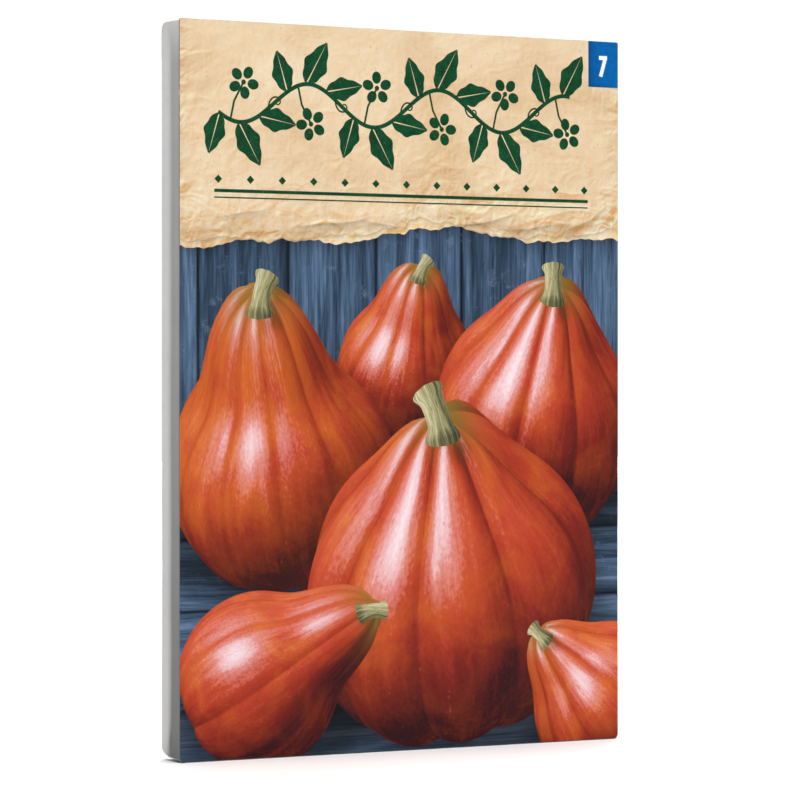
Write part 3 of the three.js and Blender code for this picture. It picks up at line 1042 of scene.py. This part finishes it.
def triangulate(regions):
    """One flat net of triangles whose edges follow every outline, and the topmost region of each."""
    points, faces = [], []
    for outline, *_ in regions:
        faces.append(list(range(len(points), len(points) + len(outline))))
        points += [tuple(p) for p in anticlockwise(outline)]
    points += [tuple(p) for p in fill_points()]
    made = delaunay_2d_cdt([Vector(p) for p in points], [], faces, 1, 1e-4, True)
    spots = np.array([tuple(v) for v in made[0]])
    tops = np.array([max(ids) if 0 in ids else -1 for ids in made[5]])
    triangles = np.array(made[2])
    return spots, triangles[tops >= 0], tops[tops >= 0]


def boundary_loop(triangles):
    """The outer edge of the net, as vertex numbers in order."""
    edges = np.concatenate([triangles[:, [0, 1]], triangles[:, [1, 2]], triangles[:, [2, 0]]])
    known = set(map(tuple, edges.tolist()))
    after = {a: b for a, b in known if (b, a) not in known}
    start = min(after)
    loop = [start]
    while after[loop[-1]] != start:
        loop.append(after[loop[-1]])
    return loop


def bulge(x, z):
    """How far the filled panel swells out, most where the seeds lie."""
    calm = unit(1 - (x / HALF) ** 4) * unit(1 - (2 * z / HEIGHT - 1) ** 6)
    seeds = 0.10 * fall(z - 10, 9) * (1 + np.sin(x / 3.9))
    return calm * (0.12 + 0.10 * ripple(x, z, 70, 8) + seeds)


def rim_offset(loop):
    """The way from each point of the printed face's edge to the sheet's outermost edge."""
    step = np.roll(loop, -1, axis=0) - np.roll(loop, 1, axis=0)
    step /= np.linalg.norm(step, axis=1, keepdims=True)
    return np.c_[RIM * step[:, 1], -np.where(step[:, 0] > 0, FOOT_RIM, RIM) * step[:, 0]]


def build_front(materials, plain):
    regions = front_regions()
    spots, triangles, tops = triangulate(regions)
    first = spots[triangles[:, 0]]
    turn = np.cross(spots[triangles[:, 1]] - first, spots[triangles[:, 2]] - first)
    triangles[turn < 0] = triangles[turn < 0][:, ::-1]
    used, flat = np.unique(triangles, return_inverse=True)
    spots, triangles = spots[used], flat.reshape(-1, 3)
    loop = boundary_loop(triangles)
    face = np.c_[spots[:, 0], FRONT - bulge(*spots.T), spots[:, 1]]
    wide = spots[loop] + rim_offset(spots[loop])
    ring = [np.c_[wide[:, 0], np.full(len(loop), FRONT + y), wide[:, 1]] for y in (RIM, PAPER)]
    points = np.concatenate([face, *ring])
    n, m = len(face), len(loop)
    rings = [np.array(loop), n + np.arange(m), n + m + np.arange(m)]
    rims = [np.stack([a, b, np.roll(b, -1), np.roll(a, -1)], -1) for a, b in zip(rings, rings[1:])]
    faces = [*triangles.tolist(), *np.concatenate(rims).tolist(), rings[2].tolist()]
    names = list(materials)
    piece = new_piece("front_sheet", points, faces, [*materials.values(), plain])
    slots = [names.index(regions[t][1]) for t in tops] + [len(names)] * (2 * m + 1)
    piece.data.polygons.foreach_set("material_index", slots)
    paint(piece, regions, spots, triangles, tops)
    shade_rim(piece, len(triangles))
    crisp_edges(piece)
    settle(piece, "printed_paper", "front_panel")


def shade_rim(piece, first):
    """The cut edge in painted shade: a painted shadow underneath, darker at the sides, a few spots worn white
    higher up.
    """
    fold = piece.data.attributes["fold"].data
    for polygon in piece.data.polygons[first:]:
        z = polygon.center.z / MM
        shade = RIM_SHADE["side"]
        if z < FOOT_RIM:
            shade = RIM_SHADE["under"]
        elif z > HEIGHT - 2 * RIM or polygon.normal.y > 0.5:
            shade = BACK_SHADE
        elif z > 0.75 * HEIGHT and math.sin(z * 0.9) + math.sin(z * 2.3) > 1.5:
            shade = RIM_SHADE["worn"]
        for corner in polygon.loop_indices:
            fold[corner].value = shade


def paint(piece, regions, spots, triangles, tops):
    """Gives each corner of the net the painted values of its own region."""
    mesh = piece.data
    values = {key: np.zeros(len(mesh.loops), np.float32) for key in ("gloss", "crown", "tone", "edge")}
    values |= {key: np.ones(len(mesh.loops), np.float32) for key in ("light", "fold")}
    skin = np.zeros((len(mesh.loops), 2), np.float32)
    for number, (_, _, shade) in enumerate(regions):
        mine = np.flatnonzero(np.repeat(tops == number, 3))
        if len(mine) == 0:
            continue
        which, back = np.unique(triangles.ravel()[mine], return_inverse=True)
        for key, value in shade(spots[which]).items():
            target = skin if key == "uv" else values[key]
            target[mine] = value[back]
    for key, value in values.items():
        mesh.attributes.new(key, "FLOAT", "CORNER").data.foreach_set("value", value)
    mesh.uv_layers.new(name="Skin").uv.foreach_set("vector", skin.ravel())


# Floor, light and camera

def build_stage():
    look = Look("studio_floor", roughness=0.9, specular=0.1)
    tone = look.noise(look.place(), 0.01, 2, 0.5)
    colour = look.ramp(tone, (0.3, 248, 248, 248), (0.7, 250, 250, 250))
    bpy.ops.mesh.primitive_plane_add(size=FLOOR)
    floor = bpy.context.object
    floor.name = "studio_floor"
    floor.data.materials.append(look.finish(colour))


def area_light(name, place, target, size, power, spread=180):
    data = bpy.data.lights.new(name, "AREA")
    data.shape, data.size, data.energy, data.spread = "DISK", size, power, math.radians(spread)
    light = bpy.data.objects.new(name, data)
    light.location = place
    light.rotation_euler = (Vector(target) - Vector(place)).to_track_quat("-Z", "Y").to_euler()
    bpy.context.scene.collection.objects.link(light)


def build_light():
    """A softbox in front, one above, two more over the floor behind, and a pale backdrop in a dim room."""
    area_light("key", (-0.32, -1.4, 0.45), (0, 0, HEIGHT / 2 * MM), 0.45, KEY_POWER)
    area_light("overhead", (-0.03, -0.09, 0.75), (-0.03, -0.09, 0), 0.5, OVERHEAD_POWER)
    area_light("near_floor", (0.45, 0.80, 1.3), (0.45, 0.80, 0), 0.9, NEAR_FLOOR_POWER, spread=75)
    area_light("far_floor", (1.6, 3.0, 1.7), (1.6, 3.0, 0), 3.0, FAR_FLOOR_POWER, spread=90)
    world = bpy.data.worlds.new("studio")
    world.use_nodes = True
    bpy.context.scene.world = world
    room = Nodes(world.node_tree)
    where = room.node("TexCoord").outputs["Generated"]
    ahead = room.node("VectorMath", {0: where, 1: AHEAD}, operation="DOT_PRODUCT").outputs["Value"]
    limits = {"Value": ahead, "From Min": 0.2, "From Max": 0.95, "To Min": ROOM, "To Max": BACKDROP}
    fade = room.node("MapRange", limits, interpolation_type="SMOOTHSTEP")
    background = room.tree.nodes["Background"]
    room.feed(background.inputs["Strength"], fade.outputs[0])
    room.feed(background.inputs["Color"], (1, 1, 1, 1))
    bpy.context.scene.view_settings.view_transform = "Standard"


def build_camera():
    """Stands where the photograph's two front edges and horizon say."""
    distance = FOCAL_PX * HEIGHT / EDGE_HEIGHT_PX * MM
    aside = (EDGE_PX - FRAME_PX / 2) / FOCAL_PX * distance
    right = Vector((AHEAD.y, -AHEAD.x, 0))
    edge = Vector((-HALF * MM, FRONT * MM, HEIGHT / 2 * MM))
    data = bpy.data.cameras.new("camera")
    data.sensor_width = SENSOR
    data.lens = FOCAL_PX / FRAME_PX * SENSOR
    data.shift_y = (HORIZON_PX - FRAME_PX / 2) / FRAME_PX
    camera = bpy.data.objects.new("camera", data)
    camera.location = edge - right * aside - AHEAD * distance
    camera.rotation_euler = (math.pi / 2, 0, VIEW_TURN)
    bpy.context.scene.collection.objects.link(camera)
    bpy.context.scene.camera = camera


paper = plain_paper()
build_walls(paper)
build_base(paper)
build_flap(paper)
build_seeds(seed_coat())
build_front({
    "boards": board_print("board_print", along_x=False),
    "table": board_print("table_print", along_x=True),
    "gourd": gourd_print(),
    "stem": stem_print(),
    "under_ply": kraft_paper("under_ply", 0.7, (240, 216, 178), (250, 232, 202), (214, 178, 130)),
    "kraft": kraft_paper("kraft_print", 0.62, (233, 208, 174), (239, 218, 188), (223, 192, 151)),
    "ink": green_ink(),
    "tab": flat_ink("blue_ink", (0, 92, 164), (0, 104, 178)),
    "white": flat_ink("white_ink", (238, 246, 250), (252, 253, 255)),
}, paper)
build_stage()
build_light()
build_camera()
